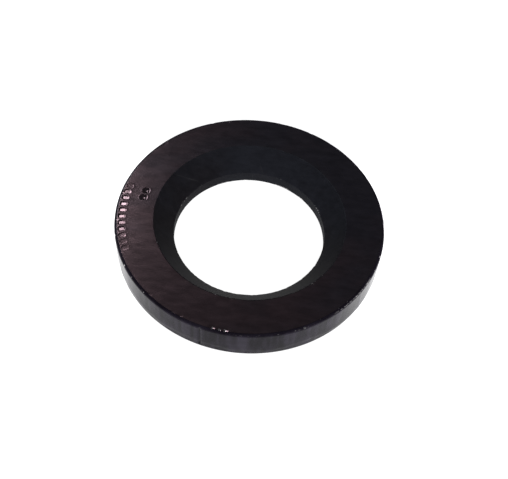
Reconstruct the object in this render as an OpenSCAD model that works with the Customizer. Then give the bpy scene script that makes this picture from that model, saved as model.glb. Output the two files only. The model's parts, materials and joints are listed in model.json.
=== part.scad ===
// Hardened flat washer, punched from steel strip, with a countersunk bore.
// The origin is the centre of the bore on the plain face, which lies on the
// plane z = 0. +Z runs up the bore to the marked face, where the countersink
// opens. Lengths are in millimetres, angles in degrees.

/* [Ring] */
// Outside diameter of the washer
outer_d = 30; // [24:0.5:60]
// Diameter of the bore that the bolt shank passes through
bore_d = 17; // [10:0.5:22]
// Thickness between the two flat faces
thickness = 3.8; // [3:0.1:8]

/* [Countersink] */
// Width of the countersink in the marked face, measured along a radius
countersink_w = 2.15; // [1:0.05:3]
// Depth of the countersink below the marked face
countersink_h = 2.4; // [1:0.1:2.8]

/* [Edges] */
// Radius that the punch drew over the outer edge of the marked face
rolled_edge_r = 0.35; // [0.1:0.05:0.8]
// Size of the 45 degree break on the outer edge of the plain face
outer_break = 0.12; // [0.05:0.01:0.3]
// Size of the 45 degree break on the bore's edge at the plain face
bore_break = 0.05; // [0.05:0.01:0.3]

/* [Stamped marks] */
// Depth that the marks are pressed into the marked face
mark_depth = 0.12; // [0.05:0.01:0.3]
// Angle from +X to the middle of the row of strokes
row_angle = 184.2; // [0:0.1:359]
// Angle between neighbouring strokes
row_step = 3.5; // [3:0.1:8]
// Number of strokes in the row
stroke_count = 11; // [1:1:20]
// Length of one stroke, along a radius of the washer
stroke_l = 0.75; // [0.6:0.05:1]
// Width of one stroke
stroke_w = 0.55; // [0.2:0.05:0.6]
// Gap between the rolled edge and the outer ends of the strokes
stroke_gap = 0.1; // [0.05:0.05:0.3]
// Angle from +X to the first square pip, between the row and the countersink
pip_angle = 166.9; // [0:0.1:359]
// Angle between neighbouring pips
pip_step = 4.7; // [4:0.1:8]
// Number of pips
pip_count = 2; // [0:1:8]
// Side of one pip
pip_w = 0.8; // [0.3:0.05:0.8]

/* [Hidden] */
outer_r = outer_d / 2;
bore_r = bore_d / 2;
mouth_r = bore_r + countersink_w;
flat_r = outer_r - rolled_edge_r;
stroke_in_r = flat_r - stroke_gap - stroke_l;
pip_r = (mouth_r + stroke_in_r) / 2;
mark_floor_z = thickness - mark_depth;
row_start = row_angle - row_step * (stroke_count - 1) / 2;
// Cutting solids run past the faces that they cut by this much
past = 1;
$fn = 96;

// The corner that rounding takes off the outer edge of the marked face.
module rolled_corner() {
    translate([flat_r, thickness - rolled_edge_r])
        difference() {
            square(rolled_edge_r + past);
            circle(rolled_edge_r);
        }
}

// One side of the ring's cross-section: x is the radius and y the height.
// The rolled edge is a quarter circle, tangent to the face and to the rim.
module ring_section() {
    difference() {
        polygon([
            [bore_r + bore_break, 0],
            [outer_r - outer_break, 0],
            [outer_r, outer_break],
            [outer_r, thickness],
            [mouth_r, thickness],
            [bore_r, thickness - countersink_h],
            [bore_r, bore_break]
        ]);
        rolled_corner();
    }
}

// The space that one straight radial stroke takes out of the marked face.
module stroke(angle) {
    rotate(angle)
        translate([stroke_in_r, -stroke_w / 2, mark_floor_z])
            cube([stroke_l, stroke_w, mark_depth + past]);
}

// The space that one square pip takes out, midway between row and countersink.
module pip(angle) {
    rotate(angle)
        translate([pip_r - pip_w / 2, -pip_w / 2, mark_floor_z])
            cube([pip_w, pip_w, mark_depth + past]);
}

// The washer itself: one solid ring, with the marks pressed in one face.
module washer_ring() {
    color([0.12, 0.1, 0.11])
        difference() {
            rotate_extrude() ring_section();
            for (i = [0 : 1 : stroke_count - 1])
                stroke(row_start + i * row_step);
            for (i = [0 : 1 : pip_count - 1])
                pip(pip_angle + i * pip_step);
        }
}

washer_ring();
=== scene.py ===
"""A hardened flat washer in black oxide: the punched ring and the table it lies on.

Lengths are in metres and angles in radians. The ring's own sizes are read from
the CAD frame. The rest are the properties of the groups below.
"""

import json
import math

import bpy
import numpy as np
from bpy.props import (
    FloatProperty,
    FloatVectorProperty,
    IntProperty,
    PointerProperty,
)
from mathutils import Matrix, Vector


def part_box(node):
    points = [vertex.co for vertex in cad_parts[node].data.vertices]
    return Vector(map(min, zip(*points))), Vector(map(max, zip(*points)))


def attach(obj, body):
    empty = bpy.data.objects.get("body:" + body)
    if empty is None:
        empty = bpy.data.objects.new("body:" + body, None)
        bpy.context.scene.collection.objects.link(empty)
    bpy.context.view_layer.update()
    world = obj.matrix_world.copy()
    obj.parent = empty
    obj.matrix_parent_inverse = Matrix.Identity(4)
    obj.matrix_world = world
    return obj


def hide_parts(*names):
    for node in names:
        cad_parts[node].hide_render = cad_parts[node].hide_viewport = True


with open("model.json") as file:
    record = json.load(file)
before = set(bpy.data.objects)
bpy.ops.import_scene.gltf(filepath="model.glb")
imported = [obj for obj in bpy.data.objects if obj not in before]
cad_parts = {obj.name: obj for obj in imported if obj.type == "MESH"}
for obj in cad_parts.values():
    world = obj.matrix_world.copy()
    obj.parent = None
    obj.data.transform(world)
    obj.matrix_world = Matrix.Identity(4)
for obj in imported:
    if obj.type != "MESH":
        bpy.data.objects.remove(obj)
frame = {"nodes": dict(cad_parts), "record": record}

bl_info = {
    "name": "Flat Washer",
    "version": (1, 0, 0),
    "blender": (4, 5, 0),
    "location": "3D View > Sidebar > Washer",
    "description": "Builds a punched flat washer with a countersunk bore, and its table",
    "category": "Add Mesh",
}

MM = 0.001
NODE = "washer_ring"
TURN = 2 * math.pi


# ---------------------------------------------------------------------------
# The ring's sizes, from the frame
# ---------------------------------------------------------------------------


def measured_ring():
    """The sizes of the CAD ring: its box, its bore mount, and the flat land.

    The land is the ring of highest points, so the smallest and the largest
    radius among them are the countersink's mouth and the rolled edge's start.
    """
    mesh = frame["nodes"][NODE].data
    points = np.empty(len(mesh.vertices) * 3, np.float32)
    mesh.vertices.foreach_get("co", points)
    points = points.reshape(-1, 3).astype(float)
    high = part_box(NODE)[1]
    on_land = points[:, 2] > high.z - 1e-3 * MM
    land_radii = np.hypot(points[on_land, 0], points[on_land, 1])
    bore = next(m for m in frame["record"]["mounts"] if m["name"] == "bore")
    half_wall = bore["dims"]["length_mm"] * MM / 2
    return {
        "outer_radius": high.x,
        "thickness": high.z,
        "bore_radius": bore["dims"]["r_mm"] * MM,
        "wall_low": bore["pos_m"][2] - half_wall,
        "wall_high": bore["pos_m"][2] + half_wall,
        "mouth_radius": float(land_radii.min()),
        "land_radius": float(land_radii.max()),
    }


RING = measured_ring()


def length(name, description, default, **limits):
    """A length property in metres."""
    limits.setdefault("min", 0.0)
    return FloatProperty(
        name=name,
        description=description,
        default=default,
        precision=5,
        unit="LENGTH",
        **limits,
    )


def angle(name, description, degrees):
    """An angle property, given in degrees and kept in radians."""
    return FloatProperty(
        name=name,
        description=description,
        default=math.radians(degrees),
        subtype="ANGLE",
    )


def share(name, description, default):
    """A plain number from 0 to 1."""
    return FloatProperty(
        name=name,
        description=description,
        default=default,
        min=0.0,
        max=1.0,
        subtype="FACTOR",
    )


def count(name, description, default):
    """A whole number, not less than 0."""
    return IntProperty(name=name, description=description, default=default, min=0)


def colour(name, description, default):
    """A linear colour."""
    return FloatVectorProperty(
        name=name,
        description=description,
        default=default,
        size=3,
        min=0.0,
        max=1.0,
        subtype="COLOR",
    )


class RingSizes(bpy.types.PropertyGroup):
    """The ring's outline, and how finely it is divided."""

    outer_radius: length("Outer radius", "Radius of the rim", RING["outer_radius"])
    bore_radius: length("Bore radius", "Radius of the bore's wall", RING["bore_radius"])
    thickness: length("Thickness", "Height of the marked face", RING["thickness"])
    mouth_radius: length(
        "Mouth radius", "Radius of the countersink's mouth", RING["mouth_radius"]
    )
    land_radius: length(
        "Land radius", "Radius where the rolled edge begins", RING["land_radius"]
    )
    wall_low: length("Wall low", "Height where the bore's wall begins", RING["wall_low"])
    wall_high: length("Wall high", "Height where the bore's wall ends", RING["wall_high"])
    outer_break: length("Outer break", "Break on the plain face's outer edge", 0.12 * MM)
    soft_edge: length("Soft edge", "Radius that tumbling gave the sharp edges", 0.07 * MM)
    mouth_round: length("Mouth round", "Radius at the countersink's mouth", 0.15 * MM)
    foot_round: length("Foot round", "Radius at the countersink's foot", 0.10 * MM)
    columns: count("Columns", "Divisions round the ring", 740)
    stamped_share: share("Stamped share", "Share of the columns spent on the marks", 0.34)


class StampSizes(bpy.types.PropertyGroup):
    """The plain marks that are pressed into the marked face."""

    row_angle: angle("Row angle", "From +X to the middle of the strokes", 184.2)
    row_step: angle("Row step", "Between neighbouring strokes", 3.5)
    stroke_count: count("Strokes", "Number of strokes", 11)
    stroke_length: length("Stroke length", "Along a radius", 0.75 * MM)
    stroke_width: length("Stroke width", "Across a stroke", 0.55 * MM)
    stroke_gap: length("Stroke gap", "From the rolled edge to a stroke", 0.1 * MM)
    pip_angle: angle("Pip angle", "From +X to the first pip", 166.9)
    pip_step: angle("Pip step", "Between neighbouring pips", 4.7)
    pip_count: count("Pips", "Number of pips", 2)
    pip_width: length("Pip width", "Side of a square pip", 0.8 * MM)
    depth: length("Depth", "How deep the marks are pressed", 0.12 * MM)
    wedge: share("Wedge", "How much shallower a stroke's inner end is", 0.82)
    wall: length("Wall", "Width of a stroke's sloping wall", 0.07 * MM)
    pip_wall: length("Pip wall", "Width of a pip's sloping wall", 0.30 * MM)
    end_depth: share("End depth", "Depth of the row's end strokes, as a share", 0.1)
    off_centre: share("Off centre", "From the row's middle to its hardest blow, in half rows", 0.1)
    uneven: share("Uneven", "How much the depth of the strokes varies by chance", 0.5)
    seed: count("Seed", "Choice of the strokes' chance depths", 4)
    stroke_round: length("Stroke round", "Radius of a stroke's corners", 0.20 * MM)
    pip_round: length("Pip round", "Radius of a pip's corners", 0.30 * MM)
    lip: length("Lip", "Height of the metal raised beside a mark", 0.004 * MM)
    lip_width: length("Lip width", "Width of the raised metal", 0.20 * MM)
    bareness: share("Bareness", "How far the oxide inside the marks is rubbed off", 0.75)


class PressSizes(bpy.types.PropertyGroup):
    """What the punch and the tumbling drum left on the ring."""

    burnish_share: share("Burnished share", "Share of the rim that the punch polished", 0.8)
    tear_lean: length("Tear lean", "How far the torn band leans in", 0.03 * MM)
    tear_grain: length("Tear grain", "Height of the torn band's grain", 0.03 * MM)
    streak: length("Streaks", "Depth of the upright streaks on the rim", 0.050 * MM)
    ripple: length("Ripple", "Waviness of the faces", 0.006 * MM)
    groove_angle: angle("Groove angle", "From +X to the die's groove in the rim", 253.5)
    groove_width: length("Groove width", "Width of the die's groove", 0.26 * MM)
    groove_depth: length("Groove depth", "Depth of the die's groove", 0.13 * MM)
    nick_count: count("Nicks", "Small dents along the edges", 160)
    nick_size: length("Nick size", "Radius of the largest nick", 0.20 * MM)
    nick_depth: length("Nick depth", "Depth of the deepest nick", 0.04 * MM)
    struck_angle: angle("Struck angle", "From +X to three knocks by the rolled edge", 261.4)
    struck_step: angle("Struck step", "Between those knocks", 2.2)
    struck_depth: length("Struck depth", "Depth of those knocks", 0.11 * MM)
    rubbed_angle: angle("Rubbed angle", "From +X to the side that rubbed most", 275)
    # The middle of a painted sheen: towards this side the faces turn browner and paler, and the
    # countersink darker and browner.
    burr_angle: angle("Burr angle", "From +X to the side with the barest edges", 35)
    sheen_angle: angle("Thin angle", "From +X to the middle of the thin oxide", 228)
    seed: count("Seed", "Choice of the chance marks", 7)


class OxideFinish(bpy.types.PropertyGroup):
    """The black oxide skin and the steel under it."""

    black: colour("Black", "The oxide where it is thick", (0.036, 0.0325, 0.0405))
    # Brown comes in where the film is thin by chance, and as a painted sheen on one side of the
    # faces.
    brown: colour("Brown", "The oxide where it is thin", (0.059, 0.0395, 0.044))
    slate: colour("Slate", "The oxide in the countersink", (0.0165, 0.0172, 0.0220))
    # Slate brown comes in by the same pattern: chance clouds, and one side of the countersink made
    # darker at the painted sheen's angle.
    slate_brown: colour("Slate brown", "Its thinner patches", (0.0130, 0.0116, 0.0134))
    violet: colour("Violet", "The oxide on the rim", (0.0068, 0.0050, 0.0085))
    # Lilac streaks are held back on the rolled edge and in the die's groove: painted shade there.
    lilac: colour("Lilac", "The rim's paler streaks", (0.029, 0.024, 0.037))
    rim_shine: colour("Rim shine", "Tint of the rim's reflections", (0.92, 0.86, 1.0))
    steel: colour("Steel", "The steel where edges rub bare", (0.42, 0.40, 0.40))
    face_metal: share("Face metallic", "How metallic the flat faces' oxide is", 0.8)
    face_rough: share("Face roughness", "Roughness of the flat faces", 0.20)
    cone_rough: share("Countersink roughness", "Roughness of the countersink", 0.6)
    rim_rough: share("Rim roughness", "Roughness of the punched rim", 0.18)
    face_gloss: share("Face gloss", "Strength of the flat faces' shine", 0.5)
    cone_gloss: share("Countersink gloss", "Strength of the countersink's shine", 0.04)
    rim_gloss: share("Rim gloss", "Strength of the rim's shine", 0.073)


class TableSettings(bpy.types.PropertyGroup):
    """The pale table, its light and the camera."""

    elevation: angle("Elevation", "Camera's height above the horizon", 54.28)
    roll: angle("Roll", "Camera's turn about its line of sight", 4.41)
    distance: length("Distance", "From the camera to the washer's base", 102.75 * MM)
    lens: FloatProperty(
        name="Lens", description="Focal length in millimetres", default=63.73, min=1.0
    )
    aim_right: length(
        "Aim right", "How far right of the washer the camera looks", 0.60 * MM, min=-1.0
    )
    aim_up: length(
        "Aim up", "How far above the washer the camera looks", -0.16 * MM, min=-1.0
    )
    table_radius: length("Table radius", "Radius of the round table", 2.0)
    paper: colour("Paper", "Colour of the table", (0.30, 0.30, 0.30))
    glow: FloatProperty(
        name="Glow", description="Light that comes up through the table", default=0.93, min=0.0
    )
    side_glow: FloatProperty(
        name="Side glow",
        description="How much more of that light there is at the sides",
        default=0.7,
        min=0.0,
    )
    room: colour("Room", "What the washer reflects above the table", (0.12, 0.125, 0.14))
    backdrop: colour("Backdrop", "What the camera sees above the table", (1.0, 1.0, 1.0))


# ---------------------------------------------------------------------------
# Arrays: the ring as an outline carried round the axis
# ---------------------------------------------------------------------------


def smooth(x):
    """3x^2 - 2x^3 on x held between 0 and 1: an S from 0 to 1."""
    x = np.clip(x, 0.0, 1.0)
    return x * x * (3 - 2 * x)


def bell(x):
    """e to the power of -x^2: 1 at 0, falling off to both sides."""
    return np.exp(-x * x)


def around(theta, centre):
    """The angle from centre to theta, by the shorter way."""
    return (theta - centre + math.pi) % TURN - math.pi


# Columns that stand across the die's groove
GROOVE_COLUMNS = 24
# Places of the three knocks, in steps from the struck angle
KNOCKS = np.array([-1.4, 0, 1])
# How the chance nicks are shared among the edges that nick_relief lists, and
# which of those edges are the countersink's
NICK_SHARES = (0.22, 0.26, 0.05, 0.25, 0.10, 0.12)
COUNTERSINK_EDGES = (2, 3)
# The sides of the ring's cross-section in order, and the arcs between them
PLAIN, LOWER_BREAK, RIM, LAND, CONE, WALL, BORE_BREAK = range(7)
ROLLED, MOUTH, FOOT = -1 - LAND, -1 - CONE, -1 - WALL


def outline_corners(s, level):
    """The corners of the ring's cross-section as (radius, height), counter-
    clockwise from the bore's lower edge, and the radius that rounds each. The
    land lies at the given level."""
    lower_break = s.wall_low
    corners = np.array(
        [
            [s.bore_radius + lower_break, 0.0],
            [s.outer_radius - s.outer_break, 0.0],
            [s.outer_radius, s.outer_break],
            [s.outer_radius, level],
            [s.mouth_radius, level],
            [s.bore_radius, s.wall_high],
            [s.bore_radius, lower_break],
        ]
    )
    soft = s.soft_edge
    rolled = s.outer_radius - s.land_radius
    radii = np.array([soft, soft, soft, rolled, s.mouth_round, s.foot_round, soft])
    return corners, radii


def rounded_outline(corners, radii, side_rows, arc_rows, support):
    """A closed outline: straight sides joined by arcs that touch them.

    At a corner where the outline turns by an angle t, an arc of radius a starts
    a tan(t/2) before the corner and ends as far after it. side_rows gives the
    inner rows of the side that leaves each corner, as shares of its length, and
    arc_rows the divisions of each arc. A side also has a row at the support
    distance from each of its ends. Returns the points, their outward normals,
    and the number of the side that each belongs to, or -1 - side on an arc.
    """
    total = len(corners)
    ahead = np.roll(corners, -1, axis=0) - corners
    lengths = np.linalg.norm(ahead, axis=1)
    along = ahead / lengths[:, None]
    before = np.roll(along, 1, axis=0)
    turn = np.arctan2(
        before[:, 0] * along[:, 1] - before[:, 1] * along[:, 0],
        (before * along).sum(axis=1),
    )
    tangent = radii * np.tan(turn / 2)
    points, normals, sides = [], [], []
    for k in range(total):
        right = np.array([before[k, 1], -before[k, 0]])
        centre = corners[k] - before[k] * tangent[k] - right * radii[k]
        first = math.atan2(right[1], right[0])
        swing = first + turn[k] * np.arange(arc_rows[k]) / arc_rows[k]
        facing = np.stack([np.cos(swing), np.sin(swing)], axis=1)
        points.append(centre + radii[k] * facing)
        normals.append(facing)
        sides.append(np.full(arc_rows[k], -1 - k))
        span = lengths[k] - tangent[k] - tangent[(k + 1) % total]
        run = np.concatenate([[0, support], side_rows[k] * span, [span - support]])
        points.append(corners[k] + along[k] * (tangent[k] + run[:, None]))
        normals.append(np.tile([along[k, 1], -along[k, 0]], (len(run), 1)))
        sides.append(np.full(len(run), k))
    return np.concatenate(points), np.concatenate(normals), np.concatenate(sides)


def mark_places(s, stamp):
    """Each mark's angle, middle radius, half length along the radius and half
    width across it, as four arrays: the strokes first, then the pips."""
    strokes, pips = stamp.stroke_count, stamp.pip_count
    first = stamp.row_angle - stamp.row_step * (strokes - 1) / 2
    inner_end = s.land_radius - stamp.stroke_gap - stamp.stroke_length
    angles = np.concatenate(
        [
            first + stamp.row_step * np.arange(strokes),
            stamp.pip_angle + stamp.pip_step * np.arange(pips),
        ]
    )
    middles = np.repeat(
        [inner_end + stamp.stroke_length / 2, (s.mouth_radius + inner_end) / 2],
        [strokes, pips],
    )
    half_long = np.repeat([stamp.stroke_length / 2, stamp.pip_width / 2], [strokes, pips])
    half_wide = np.repeat([stamp.stroke_width / 2, stamp.pip_width / 2], [strokes, pips])
    return angles, middles, half_long, half_wide


def land_shares(s, stamp):
    """Where the land's rows go, as shares of its width from the rolled edge:
    close together across the strokes and the pips, and further apart between."""
    inner_end = s.land_radius - stamp.stroke_gap - stamp.stroke_length
    pip_middle = (s.mouth_radius + inner_end) / 2
    reach = stamp.pip_width / 2 + stamp.lip_width
    radii = [
        s.land_radius,
        inner_end - stamp.lip_width,
        pip_middle + reach,
        pip_middle - reach,
        s.mouth_radius,
    ]
    rows = np.concatenate(
        [
            np.linspace(high, low, number, endpoint=False)
            for high, low, number in zip(radii, radii[1:], (21, 4, 18, 5))
        ]
    )
    return (s.land_radius - rows[1:]) / (s.land_radius - s.mouth_radius)


def ring_profile(s, stamp):
    """The ring's outline, with its rows closest where the marks are pressed."""
    corners, radii = outline_corners(s, s.thickness - stamp.lip)
    inner = {PLAIN: 5, LOWER_BREAK: 0, RIM: 22, CONE: 8, WALL: 5, BORE_BREAK: 0}
    rows = {side: np.linspace(0, 1, n + 2)[1:-1] for side, n in inner.items()}
    rows[LAND] = land_shares(s, stamp)
    side_rows = [rows[side] for side in range(len(corners))]
    arc_rows = [2, 2, 2, 10, 5, 3, 2]
    return rounded_outline(corners, radii, side_rows, arc_rows, 0.2 * s.soft_edge)


def column_angles(s, stamp, press):
    """The angles of the columns. A share of them stands across the marks and a
    few stand across the die's groove. The others are spread over the rest."""
    every = mark_places(s, stamp)[0]
    low, high = every.min() - stamp.row_step, every.max() + stamp.row_step
    reach = 1.6 * press.groove_width / s.outer_radius
    left, right = press.groove_angle - reach, press.groove_angle + reach
    close = int(s.columns * s.stamped_share)
    others = s.columns - close - GROOVE_COLUMNS
    before = round(others * (left - high) / (TURN - (high - low) - 2 * reach))
    ends = [low, high, left, right, low + TURN]
    numbers = [close, before, GROOVE_COLUMNS, others - before]
    return np.concatenate(
        [
            np.linspace(start, end, number, endpoint=False)
            for start, end, number in zip(ends, ends[1:], numbers)
        ]
    )


def ring_noise(theta, height, round_cells, up_cells, seed):
    """Smooth chance relief from -1 to 1 that closes on itself round the ring.

    Chance numbers stand on a lattice of round_cells by up_cells + 1 points. A
    point at theta (radians) and height (0 to 1) lies between four of them, and
    their numbers are mixed by the S curve of how far along each way it is.
    """
    lattice = np.random.default_rng(seed).uniform(-1, 1, (up_cells + 2, round_cells))
    across = (theta % TURN) / TURN * round_cells
    up = np.clip(height, 0, 1) * up_cells
    i, j = np.floor(across).astype(int), np.floor(up).astype(int)
    a, b = smooth(across - i), smooth(up - j)
    i, k = i % round_cells, (i + 1) % round_cells
    low = lattice[j, i] * (1 - a) + lattice[j, k] * a
    high = lattice[j + 1, i] * (1 - a) + lattice[j + 1, k] * a
    return low * (1 - b) + high * b


def blow_shares(stamp):
    """How hard each mark was struck, as a share of the full depth: all of it near
    the row's hardest blow, falling by the S curve to the row's ends, less a
    chance part for each stroke. The pips are struck fully."""
    away = np.abs(np.linspace(-1, 1, stamp.stroke_count) + stamp.off_centre)
    strokes = 1 - (1 - stamp.end_depth) * smooth((away - 0.45) / 0.4)
    chance = np.random.default_rng(stamp.seed)
    strokes = strokes * (1 - stamp.uneven * chance.random(stamp.stroke_count))
    return np.append(strokes, np.ones(stamp.pip_count))


def stamp_relief(s, stamp, radius, theta):
    """Height of the marked face at each point, and how rubbed a mark left it.

    A point's place along and across each mark's own radius gives q, how far it
    lies outside the mark's round-cornered sides. The face drops by the S curve of -q
    over the wall's width. Beside the mark it rises by a bell curve of q, which
    dies out at the rolled edge. A stroke was struck aslant: its floor climbs
    towards the bore. A mark that was struck lightly is shallower and less rubbed.
    """
    angles, middles, half_long, half_wide = mark_places(s, stamp)
    strokes = stamp.stroke_count
    walls = np.repeat([stamp.wall, stamp.pip_wall], [strokes, stamp.pip_count])
    rounds = np.repeat([stamp.stroke_round, stamp.pip_round], [strokes, stamp.pip_count])
    off = around(theta[..., None], angles)
    out = radius[..., None] * np.cos(off) - middles
    along = np.abs(out) - half_long + rounds
    across = np.abs(radius[..., None] * np.sin(off)) - half_wide + rounds
    corner = np.hypot(np.maximum(along, 0), np.maximum(across, 0))
    q = corner + np.minimum(np.maximum(along, across), 0) - rounds
    q = np.where(np.abs(off) < 1, q, 1.0)
    nearest = q.argmin(axis=-1)[..., None]
    out = np.take_along_axis(out / half_long, nearest, axis=-1)[..., 0]
    q = np.take_along_axis(q, nearest, axis=-1)[..., 0]
    nearest = nearest[..., 0]
    rise = stamp.wedge * (nearest < strokes)
    struck = blow_shares(stamp)[nearest]
    depth = stamp.depth * struck * (1 - rise * (1 - np.clip(out, -1, 1)) / 2)
    inside = smooth(-q / walls[nearest])
    beside = bell((q / stamp.lip_width - 0.4) / 0.4) * smooth(1 + q / stamp.wall)
    beside = beside * smooth((s.land_radius - radius) / (2 * stamp.stroke_gap))
    relief = stamp.lip * beside * (1 - inside) - depth * inside
    return relief, stamp.bareness * struck * inside


def rim_relief(s, press, theta, height):
    """Relief of the punched rim, how torn each point is, and how much of the paler tint it takes.

    The whole rim has upright streaks, broad and fine. Below a wavy line the
    metal tore instead of being cut: there it leans in towards the plain face
    and has a chance grain of two sizes. The die's groove is a bell curve of the
    distance from its angle.
    """
    flat = np.zeros_like(theta)
    line = 1 - press.burnish_share + 0.10 * ring_noise(theta, flat, 23, 1, press.seed)
    line = line + 0.04 * ring_noise(theta, flat, 140, 1, press.seed + 1)
    below = smooth((line - height) / 0.1)
    lean = np.clip((line - height) / np.maximum(line, 1e-6), 0, 1)
    coarse = ring_noise(theta, height, 170, 6, press.seed + 2)
    fine = ring_noise(theta, height, 360, 14, press.seed + 3)
    broad = ring_noise(theta, 0.3 * height, 74, 3, press.seed + 4)
    narrow = ring_noise(theta, 0.3 * height, 210, 5, press.seed + 6)
    finer = ring_noise(theta, 0.3 * height, 430, 4, press.seed + 7)
    relief = press.streak * (0.4 * broad + 0.35 * narrow + 0.25 * finer - 1) / 2
    streaked = 0.5 + 0.35 * broad + 0.5 * narrow + 0.35 * finer
    grain = 0.6 * coarse + 0.4 * fine - 1
    relief = relief + below * (press.tear_grain * grain / 2 - press.tear_lean * lean)
    across = around(theta, press.groove_angle) * s.outer_radius / (press.groove_width / 2)
    groove = bell(across)
    relief = relief - press.groove_depth * groove * smooth(height / 0.15)
    # In the die's groove the rim keeps only its darkest tint: painted shade.
    return relief, below, np.clip(streaked * (1 - groove), 0, 1)


def nick_relief(s, press, theta, radius, z, level):
    """Dents where edges were knocked, and how bare each point is.

    Each nick is a bell-shaped hollow round a point on one of the ring's edges:
    the rolled edge, the countersink's mouth and foot, or the lower edges. The
    points are chance ones, and the countersink's crowd round the rubbed side.
    Three deeper knocks stand side by side on the land, by the rolled edge.
    """
    chance = np.random.default_rng(press.seed + 10)
    edges = np.array(
        [
            [s.outer_radius - 0.10 * MM, level - 0.10 * MM],
            [s.land_radius, level],
            [s.mouth_radius, level],
            [s.bore_radius, s.wall_high],
            [s.bore_radius, 0.0],
            [s.outer_radius, 0.0],
        ]
    )
    number = press.nick_count
    which = chance.choice(len(edges), number, p=NICK_SHARES)
    angles = chance.uniform(0, TURN, number)
    crowded = press.rubbed_angle + 0.42 * (angles - math.pi)
    angles = np.where(np.isin(which, COUNTERSINK_EDGES), crowded, angles)
    sizes = press.nick_size * chance.uniform(0.3, 1, number) ** 1.5
    depths = press.nick_depth * sizes / press.nick_size * chance.uniform(0.4, 1, number)
    shines = np.where(which == 0, 1.2, 0.8)
    knocks = len(KNOCKS)
    beside_edge = edges[1] - [0.1 * MM, 0.0]
    spots = np.concatenate([edges[which], np.tile(beside_edge, (knocks, 1))])
    angles = np.append(angles, press.struck_angle + press.struck_step * KNOCKS)
    sizes = np.append(sizes, np.full(knocks, press.nick_size))
    depths = np.append(depths, np.full(knocks, press.struck_depth))
    shines = np.append(shines, np.full(knocks, 1.6))
    relief, bare = np.zeros_like(theta), np.zeros_like(theta)
    for at, (r, h), size, depth, shine in zip(angles, spots, sizes, depths, shines):
        apart = np.sqrt((around(theta, at) * r) ** 2 + (radius - r) ** 2 + (z - h) ** 2)
        hollow = bell(apart / size)
        relief -= depth * hollow
        bare = np.maximum(bare, shine * hollow)
    return relief, bare


def edge_wear(s, press, theta, radius, z, level):
    """How rubbed each point is: a bell curve of its distance from the nearest
    edge, times chance patches round the ring that favour one side of it."""
    rubbed, struck = press.rubbed_angle, press.burr_angle
    # Each edge's radius and height, the width of its band in millimetres, how far
    # it rubs at most, and the angle of the side that rubs so
    edges = [
        (s.land_radius, level, 0.10, 0.2, rubbed),
        (s.outer_radius - 0.1 * MM, level - 0.1 * MM, 0.12, 1.0, struck),
        (s.mouth_radius, level, 0.16, 0.4, rubbed),
        (s.bore_radius, s.wall_high, 0.16, 1.0, rubbed),
        (s.bore_radius, 0.0, 0.34, 1.0, struck),
        (s.outer_radius, 0.0, 0.16, 0.8, rubbed),
    ]
    worn = np.zeros_like(radius)
    for number, (r, h, width, most, favoured) in enumerate(edges):
        near = most * bell(np.hypot(radius - r, z - h) / (width * MM))
        patches = ring_noise(theta, 0 * theta, 61, 1, press.seed + 20 + number)
        side = 0.5 + 0.5 * np.cos(around(theta, favoured))
        near = near * (0.45 + 0.55 * side) * smooth(0.45 + 0.9 * patches)
        worn = np.maximum(worn, near)
    return worn


def ring_surface(s, stamp, press):
    """The whole ring as arrays: its points on a grid of outline rows by columns,
    the side of each row, and the attributes that the finishes read.

    A point is the outline's point, moved along the outline's normal by the sum
    of the reliefs, and turned about the axis by its column's angle. The break
    below the rim is drawn in with it, less and less towards the plain face.
    """
    outline, facing, side = ring_profile(s, stamp)
    level = s.thickness - stamp.lip
    theta = column_angles(s, stamp, press)
    theta = np.broadcast_to(theta, (len(outline), s.columns))
    radius = np.broadcast_to(outline[:, :1], theta.shape)
    z = np.broadcast_to(outline[:, 1:], theta.shape)
    on_land = (side == LAND)[:, None]
    on_rim = np.isin(side, (RIM, ROLLED))[:, None]
    below_rim = np.isin(side, (-1 - RIM, LOWER_BREAK, -1 - LOWER_BREAK))[:, None]
    height = (z - s.outer_break) / (level + s.land_radius - s.outer_radius)
    pressed, rubbed = stamp_relief(s, stamp, radius, theta)
    sheared, torn, streaked = rim_relief(s, press, theta, height)
    dented, bare = nick_relief(s, press, theta, radius, z, level)
    wave = ring_noise(theta, (radius - s.bore_radius) / s.outer_radius, 40, 8, press.seed + 5)
    relief = dented + press.ripple * (wave - 1) / 2 * (side != WALL)[:, None]
    relief = relief + np.where(on_land, pressed, 0.0)
    rolled_fade = smooth((level - z) / (s.outer_radius - s.land_radius))
    relief = relief + np.where(on_rim, sheared * rolled_fade, 0.0)
    drawn_in = np.where(below_rim, sheared * smooth(z / s.outer_break), 0.0)
    r = radius + facing[:, :1] * relief + drawn_in
    h = np.maximum(z + facing[:, 1:] * relief, 0.0)
    points = np.stack([r * np.cos(theta), r * np.sin(theta), h], axis=-1)
    clouds = ring_noise(theta, (radius - s.bore_radius) / s.outer_radius, 26, 6, press.seed + 8)
    # The cosine part paints a sheen: one side of the faces browner and paler, that side of the
    # countersink darker. The clouds are film that is thinner by chance.
    thin = 0.5 + 0.5 * np.cos(around(theta, press.sheen_angle)) + 0.22 * clouds
    worn = np.maximum(edge_wear(s, press, theta, radius, z, level), bare)
    worn = np.maximum(worn, np.where(on_land, rubbed, 0.0))
    attributes = {
        "worn": worn,
        "torn": np.where(on_rim, torn * rolled_fade, 0.0),
        # Towards the top of the rolled edge the paler streaks fade to a quarter: painted shade,
        # darkest where the edge turns to the land.
        "streaked": np.where(on_rim, 0.25 + (streaked - 0.25) * rolled_fade, 0.0),
        "thin": np.clip(thin, 0.0, 1.0),
    }
    return points, side, attributes


def grid_faces(rows, columns):
    """Corner numbers of the squares of a grid that closes both ways, wound so
    that they face out when the rows run counter-clockwise round the outline."""
    index = np.arange(rows * columns).reshape(rows, columns)
    above, beside = np.roll(index, -1, axis=0), np.roll(index, -1, axis=1)
    corner = np.roll(above, -1, axis=1)
    return np.stack([index, beside, corner, above], axis=-1).reshape(-1, 4)


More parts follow.
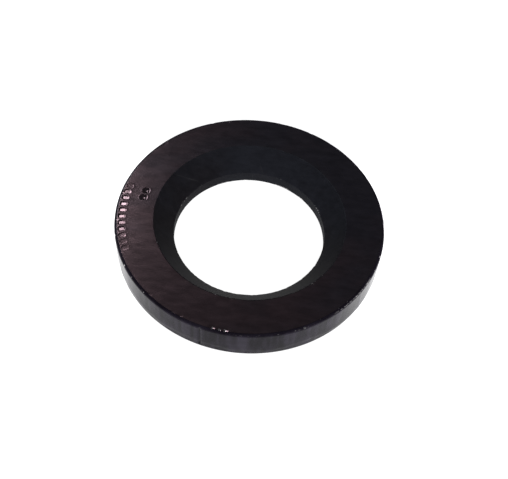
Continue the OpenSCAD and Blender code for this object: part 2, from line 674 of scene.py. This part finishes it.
def mesh_from_arrays(name, points, faces):
    """A smooth-shaded mesh object made in one go from arrays."""
    mesh = bpy.data.meshes.new(name)
    mesh.vertices.add(len(points))
    mesh.vertices.foreach_set("co", points.astype(np.float32).ravel())
    mesh.loops.add(faces.size)
    mesh.loops.foreach_set("vertex_index", faces.astype(np.int32).ravel())
    mesh.polygons.add(len(faces))
    starts = np.arange(0, faces.size, faces.shape[1], dtype=np.int32)
    mesh.polygons.foreach_set("loop_start", starts)
    mesh.update(calc_edges=True)
    mesh.polygons.foreach_set("use_smooth", np.ones(len(faces), bool))
    made = bpy.data.objects.new(name, mesh)
    bpy.context.scene.collection.objects.link(made)
    return made


def add_attributes(mesh, attributes):
    """Writes each array as a number on every point of the mesh."""
    for name, values in attributes.items():
        made = mesh.attributes.new(name, "FLOAT", "POINT")
        made.data.foreach_set("value", values.astype(np.float32).ravel())


# ---------------------------------------------------------------------------
# Finishes
# ---------------------------------------------------------------------------


def new_node(tree, kind, place, **settings):
    """A node of a tree, at a place in its editor, with its settings made."""
    node = tree.nodes.new(kind)
    node.location = place
    for name, value in settings.items():
        setattr(node, name, value)
    return node


def join(tree, socket, value):
    """Links a socket to another, or sets it to a plain value."""
    if isinstance(value, bpy.types.NodeSocket):
        tree.links.new(value, socket)
    else:
        socket.default_value = value


def feed(tree, node, **values):
    """Joins a node's inputs by name. An underscore stands for a space."""
    for name, value in values.items():
        join(tree, node.inputs[name.replace("_", " ")], value)
    return node


def rgba(tint):
    """A colour with full alpha."""
    return (*tint, 1.0)


def new_group(name, inputs, outputs):
    """An empty shader node group with named sockets, and its two end nodes."""
    group = bpy.data.node_groups.new(name, "ShaderNodeTree")
    kinds = {"number": "NodeSocketFloat", "colour": "NodeSocketColor"}
    for kind, label in inputs:
        group.interface.new_socket(label, in_out="INPUT", socket_type=kinds[kind])
    for kind, label in outputs:
        group.interface.new_socket(label, in_out="OUTPUT", socket_type=kinds[kind])
    given = new_node(group, "NodeGroupInput", (-1100, 0))
    result = new_node(group, "NodeGroupOutput", (600, 0))
    return group, given.outputs, result.inputs


def noise(tree, place, vector, scale, detail=2.0, roughness=0.5):
    """The value of a noise texture on the given coordinates."""
    node = new_node(tree, "ShaderNodeTexNoise", place)
    feed(tree, node, Vector=vector, Scale=scale, Detail=detail, Roughness=roughness)
    return node.outputs["Fac"]


def ramp(tree, place, value, low, high):
    """A value stretched so that low becomes 0 and high becomes 1, held there."""
    node = new_node(tree, "ShaderNodeMapRange", place)
    feed(tree, node, Value=value, From_Min=low, From_Max=high)
    return node.outputs["Result"]


def maths(tree, place, operation, *values):
    """One sum on two or three values."""
    node = new_node(tree, "ShaderNodeMath", place, operation=operation)
    for socket, value in zip(node.inputs, values):
        join(tree, socket, value)
    return node.outputs[0]


def blend_colours(tree, place, factor, first, second, way="MIX"):
    """The first colour turning into the second as factor goes from 0 to 1."""
    node = new_node(tree, "ShaderNodeMix", place, data_type="RGBA", blend_type=way)
    for number, value in zip((0, 6, 7), (factor, first, second)):
        join(tree, node.inputs[number], value)
    return node.outputs[2]


def surface_value(tree, place, name):
    """The mesh attribute of that name."""
    return new_node(tree, "ShaderNodeAttribute", place, attribute_name=name).outputs["Fac"]


def object_place(tree, place, stretch=(1.0, 1.0, 1.0), turned=0.0):
    """The object's own coordinates, turned about Z and stretched on each axis."""
    source = new_node(tree, "ShaderNodeTexCoord", (place[0] - 200, place[1]))
    mapping = new_node(tree, "ShaderNodeMapping", place, vector_type="TEXTURE")
    stretch = [1 / amount for amount in stretch]
    feed(
        tree,
        mapping,
        Vector=source.outputs["Object"],
        Scale=stretch,
        Rotation=(0.0, 0.0, turned),
    )
    return mapping.outputs["Vector"]


def oxide_film_group():
    """Cloudy black oxide: two tints that meet along a border set by chance and by
    the Cloud input, which brings painted sheen and painted shade too, with fine mottling
    drawn out along X, the way the strip was rolled, and a roughness and a surface height that
    follow the mottling."""
    group, given, result = new_group(
        "oxide_film",
        [("colour", "Thick"), ("colour", "Thin"), ("number", "Cloud"), ("number", "Roughness")],
        [("colour", "Color"), ("number", "Roughness"), ("number", "Height")],
    )
    place = object_place(group, (-900, 300), (0.4, 1.0, 1.0))
    clouds = noise(group, (-650, 400), place, 300.0, 4.0, 0.6)
    mottle = noise(group, (-650, 150), place, 1500.0, 4.0, 0.6)
    grain = noise(group, (-650, -100), place, 9000.0, 3.0, 0.65)
    border = maths(group, (-420, 400), "ADD", clouds, given["Cloud"])
    border = ramp(group, (-220, 400), border, 0.55, 1.35)
    tint = blend_colours(group, (0, 300), border, given["Thick"], given["Thin"])
    speck = ramp(group, (-220, 100), mottle, 0.25, 0.75)
    darker, paler = rgba([0.75] * 3), rgba([1.25] * 3)
    speck = blend_colours(group, (0, 60), speck, darker, paler)
    tint = blend_colours(group, (220, 200), 1.0, tint, speck, "MULTIPLY")
    group.links.new(tint, result["Color"])
    spread = maths(group, (-220, -150), "MULTIPLY_ADD", mottle, 0.06, -0.03)
    rough = maths(group, (220, -100), "ADD", given["Roughness"], spread)
    group.links.new(rough, result["Roughness"])
    height = maths(group, (220, -350), "MULTIPLY_ADD", mottle, 2.0, grain)
    group.links.new(height, result["Height"])
    return group


def bare_edge_group():
    """Oxide rubbed through to steel. Where the wear of the surface and a chance
    pattern together pass a limit, the colour, metallic and roughness become the
    bare metal's. Fine handling scratches show a little of it too, all over."""
    group, given, result = new_group(
        "bare_edge",
        [
            ("colour", "Color"),
            ("colour", "Steel"),
            ("number", "Metallic"),
            ("number", "Roughness"),
            ("number", "Amount"),
        ],
        [("colour", "Color"), ("number", "Metallic"), ("number", "Roughness")],
    )
    worn = surface_value(group, (-900, 300), "worn")
    chips = noise(group, (-680, -250), object_place(group, (-900, -250)), 4200.0, 4.0, 0.7)
    reach = maths(group, (-480, 250), "MULTIPLY", worn, given["Amount"])
    over = maths(group, (-260, 100), "ADD", reach, chips)
    bare = ramp(group, (-60, 100), over, 0.92, 1.12)
    long_way = object_place(group, (-900, -500), (9000.0, 240.0, 240.0), 0.5)
    other_way = object_place(group, (-900, -750), (260.0, 8000.0, 260.0), 0.3)
    lines = maths(
        group,
        (-440, -500),
        "MAXIMUM",
        noise(group, (-680, -500), long_way, 1.0, 1.0),
        noise(group, (-680, -750), other_way, 1.0, 1.0),
    )
    lines = ramp(group, (-240, -500), lines, 0.74, 0.84)
    lines = maths(group, (-60, -500), "MULTIPLY", lines, 0.05)
    bare = maths(group, (120, 0), "MAXIMUM", bare, lines)
    tint = blend_colours(group, (320, 200), bare, given["Color"], given["Steel"])
    group.links.new(tint, result["Color"])
    metal = maths(group, (320, 50), "MAXIMUM", bare, given["Metallic"])
    group.links.new(metal, result["Metallic"])
    rough = maths(group, (320, -100), "MULTIPLY_ADD", bare, -0.1, given["Roughness"])
    group.links.new(rough, result["Roughness"])
    return group


def oxide_material(name, finish, groups, tints, cloud, metal, rough, gloss, amount):
    """The oxide film with bare edges on a plain shader.

    cloud names the attribute that mixes in the second tint: thin film, streaks,
    painted sheen and painted shade. amount is how readily it rubs through. Returns
    the material, its tree, its shader, and the height that the film's grain gives.
    """
    material = bpy.data.materials.new(name)
    material.use_nodes = True
    tree = material.node_tree
    tree.nodes.clear()
    output = new_node(tree, "ShaderNodeOutputMaterial", (900, 0))
    shader = new_node(tree, "ShaderNodeBsdfPrincipled", (600, 0))
    tree.links.new(shader.outputs["BSDF"], output.inputs["Surface"])
    cloud = surface_value(tree, (-450, 0), cloud)
    film = new_node(tree, "ShaderNodeGroup", (-200, 0), node_tree=groups["oxide_film"])
    thick, thin = tints
    feed(tree, film, Thick=rgba(thick), Thin=rgba(thin), Cloud=cloud, Roughness=rough)
    edge = new_node(tree, "ShaderNodeGroup", (100, 0), node_tree=groups["bare_edge"])
    feed(
        tree,
        edge,
        Color=film.outputs["Color"],
        Steel=rgba(finish.steel),
        Metallic=metal,
        Roughness=film.outputs["Roughness"],
        Amount=amount,
    )
    feed(
        tree,
        shader,
        Base_Color=edge.outputs["Color"],
        Metallic=edge.outputs["Metallic"],
        Roughness=edge.outputs["Roughness"],
        Specular_IOR_Level=gloss,
        IOR=1.5,
    )
    return material, tree, shader, film.outputs["Height"]


def add_bump(tree, shader, height, depth):
    """Surface grain of the given depth in metres, as a bump on the shader."""
    bump = new_node(tree, "ShaderNodeBump", (350, -300))
    feed(tree, bump, Height=height, Strength=1.0, Distance=depth)
    tree.links.new(bump.outputs["Normal"], shader.inputs["Normal"])


def face_finish(finish, groups):
    """The flat faces: rolled strip under oxide, with faint lines along X."""
    material, tree, shader, height = oxide_material(
        "rolled_face_oxide",
        finish,
        groups,
        (finish.black, finish.brown),
        # This attribute brings in the brown: thinner film in chance clouds, and a painted sheen on
        # one side.
        "thin",
        finish.face_metal,
        finish.face_rough,
        finish.face_gloss,
        0.42,
    )
    rolled = object_place(tree, (-700, -500), (220.0, 5200.0, 220.0))
    lines = noise(tree, (-450, -500), rolled, 1.0)
    height = maths(tree, (100, -400), "MULTIPLY_ADD", lines, 0.6, height)
    add_bump(tree, shader, height, 0.0012 * MM)
    return material


def cone_finish(finish, groups):
    """The countersink: matt, with fine turning rings about the axis."""
    material, tree, shader, height = oxide_material(
        "turned_countersink_oxide",
        finish,
        groups,
        (finish.slate, finish.slate_brown),
        # This attribute brings in slate brown: chance clouds, and one side made darker at the
        # painted sheen's angle.
        "thin",
        0.0,
        finish.cone_rough,
        finish.cone_gloss,
        0.75,
    )
    place = object_place(tree, (-900, -500), (1.0, 1.0, 1e-3))
    distance = new_node(tree, "ShaderNodeVectorMath", (-700, -500), operation="LENGTH")
    tree.links.new(place, distance.inputs[0])
    spread = maths(tree, (-520, -500), "MULTIPLY", distance.outputs["Value"], 9000.0)
    rings = new_node(tree, "ShaderNodeTexNoise", (-330, -500), noise_dimensions="1D")
    feed(tree, rings, W=spread, Scale=1.0, Detail=2.0)
    height = maths(tree, (100, -400), "MULTIPLY_ADD", rings.outputs["Fac"], 0.8, height)
    add_bump(tree, shader, height, 0.002 * MM)
    return material


def rim_finish(finish, groups):
    """The punched rim, its rolled edge and the break below it: upright streaks where the
    die passed, and crystalline grain where the metal tore."""
    material, tree, shader, height = oxide_material(
        "punched_rim_oxide",
        finish,
        groups,
        (finish.violet, finish.lilac),
        # This attribute mixes in lilac: chance streaks, with painted shade on the rolled edge and
        # in the die's groove.
        "streaked",
        0.0,
        finish.rim_rough,
        finish.rim_gloss,
        0.65,
    )
    feed(tree, shader, Specular_Tint=rgba(finish.rim_shine))
    torn = surface_value(tree, (-900, -300), "torn")
    grain = noise(tree, (-450, -700), object_place(tree, (-700, -700)), 5200.0, 5.0, 0.75)
    upright = object_place(tree, (-700, -500), (3200.0, 3200.0, 160.0))
    streaks = noise(tree, (-450, -500), upright, 1.0, 3.0)
    rough_part = maths(tree, (-200, -700), "MULTIPLY", grain, torn)
    total = maths(tree, (-20, -600), "MULTIPLY_ADD", rough_part, 3.0, streaks)
    total = maths(tree, (160, -500), "ADD", total, height)
    add_bump(tree, shader, total, 0.002 * MM)
    return material


# ---------------------------------------------------------------------------
# Operators
# ---------------------------------------------------------------------------


class WASHER_OT_add_ring(bpy.types.Operator):
    """Adds the punched ring in place of its plain CAD solid"""

    bl_idname = "washer.add_ring"
    bl_label = "Punched Ring"
    bl_options = {"REGISTER", "UNDO"}

    def execute(self, context):
        scene = context.scene
        sizes, stamp, press = scene.washer_ring, scene.washer_stamp, scene.washer_press
        finish = scene.washer_finish
        points, side, attributes = ring_surface(sizes, stamp, press)
        rows, columns = points.shape[:2]
        faces = grid_faces(rows, columns)
        ring = mesh_from_arrays("punched_ring", points.reshape(-1, 3), faces)
        add_attributes(ring.data, attributes)
        groups = {"oxide_film": oxide_film_group(), "bare_edge": bare_edge_group()}
        for make in (face_finish, cone_finish, rim_finish):
            ring.data.materials.append(make(finish, groups))
        slots = np.zeros(rows, np.int32)
        slots[np.isin(side, (CONE, MOUTH, FOOT, WALL, -1 - BORE_BREAK, BORE_BREAK))] = 1
        slots[np.isin(side, (ROLLED, RIM, -1 - RIM, LOWER_BREAK))] = 2
        ring.data.polygons.foreach_set("material_index", np.repeat(slots, columns))
        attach(ring, "root")
        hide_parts(NODE)
        return {"FINISHED"}


def table_surface(radius):
    """The round table as circles about the axis, and the squares between them."""
    circles = radius * np.linspace(0.02, 1, 24)[:, None] ** 2
    theta = np.linspace(0, TURN, 96, endpoint=False)
    across, along = circles * np.cos(theta), circles * np.sin(theta)
    points = np.stack([across, along, 0 * across], axis=-1).reshape(-1, 3)
    index = np.arange(len(points)).reshape(across.shape)
    inner, outer = index[:-1], index[1:]
    turned = np.roll(outer, -1, axis=1), np.roll(inner, -1, axis=1)
    squares = np.stack([inner, outer, *turned], axis=-1).reshape(-1, 4)
    return points, squares, index[0]


def paper_finish(table):
    """Matt paper with light coming up through it, more of it to the left and the
    right of the washer than before and behind it."""
    material = bpy.data.materials.new("table_paper")
    material.use_nodes = True
    tree = material.node_tree
    place = new_node(tree, "ShaderNodeSeparateXYZ", (-900, 0))
    join(tree, place.inputs["Vector"], object_place(tree, (-1100, 0)))
    aside = maths(tree, (-700, 0), "ABSOLUTE", place.outputs["X"])
    aside = ramp(tree, (-500, 0), aside, 10 * MM, 15 * MM)
    shine = maths(tree, (-300, 0), "MULTIPLY_ADD", aside, table.side_glow, 1.0)
    feed(
        tree,
        tree.nodes["Principled BSDF"],
        Base_Color=rgba(table.paper),
        Roughness=0.9,
        Specular_IOR_Level=0.0,
        Emission_Color=shine,
        Emission_Strength=table.glow,
    )
    return material


def room_world(table):
    """A dim room for the washer to reflect, and a pale backdrop for the camera."""
    world = bpy.data.worlds.new("room")
    world.use_nodes = True
    tree = world.node_tree
    kind = new_node(tree, "ShaderNodeLightPath", (-500, 0))
    seen = kind.outputs["Is Camera Ray"]
    tint = blend_colours(tree, (-250, 0), seen, rgba(table.room), rgba(table.backdrop))
    feed(tree, tree.nodes["Background"], Color=tint)
    return world


# Each soft light: its name, place, size, power in watts, and tint.
LIGHTS = (
    ("window", (-0.146, 0.250, 0.294), (0.08, 0.08), 0.56, (1.0, 0.955, 0.98)),
    ("overhead", (0.10, -0.45, 0.75), (1.00, 0.80), 5.5, (0.97, 0.98, 1.0)),
)
# The window is only mirrored, and the overhead light only falls on matt surfaces.
MIRRORED, MATT = {"window"}, {"overhead"}


def add_light(name, place, size, power, tint):
    """A rectangular soft light at a place, turned towards the washer."""
    light = bpy.data.lights.new(name, "AREA")
    light.shape = "RECTANGLE"
    light.size, light.size_y = size
    light.energy = power
    light.color = tint
    lamp = bpy.data.objects.new(name, light)
    lamp.location = place
    lamp.rotation_euler = Vector(place).to_track_quat("Z", "Y").to_euler()
    lamp.visible_glossy = name not in MATT
    lamp.visible_diffuse = name not in MIRRORED
    bpy.context.scene.collection.objects.link(lamp)
    return lamp


def add_camera(scene, table):
    """The camera, looking along +Y and down at its elevation, rolled about its
    line of sight. It looks at a point a little off the washer's base centre."""
    data = bpy.data.cameras.new("camera")
    data.lens = table.lens
    data.clip_start = 1 * MM
    camera = bpy.data.objects.new("camera", data)
    back = Vector((0, -math.cos(table.elevation), math.sin(table.elevation)))
    turned = back.to_track_quat("Z", "Y").to_matrix()
    turned = turned @ Matrix.Rotation(table.roll, 3, "Z")
    aim = turned @ Vector((table.aim_right, table.aim_up, 0))
    camera.matrix_world = Matrix.Translation(aim + back * table.distance) @ turned.to_4x4()
    scene.collection.objects.link(camera)
    scene.camera = camera


class WASHER_OT_add_table(bpy.types.Operator):
    """Adds the pale table, its soft light and the camera"""

    bl_idname = "washer.add_table"
    bl_label = "Table, Light and Camera"
    bl_options = {"REGISTER", "UNDO"}

    def execute(self, context):
        scene = context.scene
        table = scene.washer_table
        points, squares, hub = table_surface(table.table_radius)
        sheet = bpy.data.meshes.new("table_sheet")
        sheet.from_pydata(points.tolist(), [], squares.tolist() + [hub.tolist()])
        sheet.materials.append(paper_finish(table))
        floor = bpy.data.objects.new("table_sheet", sheet)
        scene.collection.objects.link(floor)
        for light in LIGHTS:
            add_light(*light)
        scene.world = room_world(table)
        scene.view_settings.view_transform = "Standard"
        add_camera(scene, table)
        return {"FINISHED"}


GROUPS = {
    "washer_ring": RingSizes,
    "washer_stamp": StampSizes,
    "washer_press": PressSizes,
    "washer_finish": OxideFinish,
    "washer_table": TableSettings,
}


class WASHER_PT_sidebar(bpy.types.Panel):
    """Lists the washer's operators and their properties"""

    bl_idname = "WASHER_PT_sidebar"
    bl_label = "Flat Washer"
    bl_space_type = "VIEW_3D"
    bl_region_type = "UI"
    bl_category = "Washer"

    def draw(self, context):
        for operator in (WASHER_OT_add_ring, WASHER_OT_add_table):
            self.layout.operator(operator.bl_idname)
        for name in GROUPS:
            box = self.layout.box()
            group = getattr(context.scene, name)
            for prop in group.bl_rna.properties:
                if prop.identifier not in {"rna_type", "name"}:
                    box.prop(group, prop.identifier)


CLASSES = (*GROUPS.values(), WASHER_OT_add_ring, WASHER_OT_add_table, WASHER_PT_sidebar)


def register():
    for cls in CLASSES:
        bpy.utils.register_class(cls)
    for name, group in GROUPS.items():
        setattr(bpy.types.Scene, name, PointerProperty(type=group))


def unregister():
    for name in GROUPS:
        delattr(bpy.types.Scene, name)
    for cls in reversed(CLASSES):
        bpy.utils.unregister_class(cls)


def main():
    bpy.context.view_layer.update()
    register()
    bpy.ops.washer.add_ring()
    bpy.ops.washer.add_table()


if __name__ == "__main__":
    main()
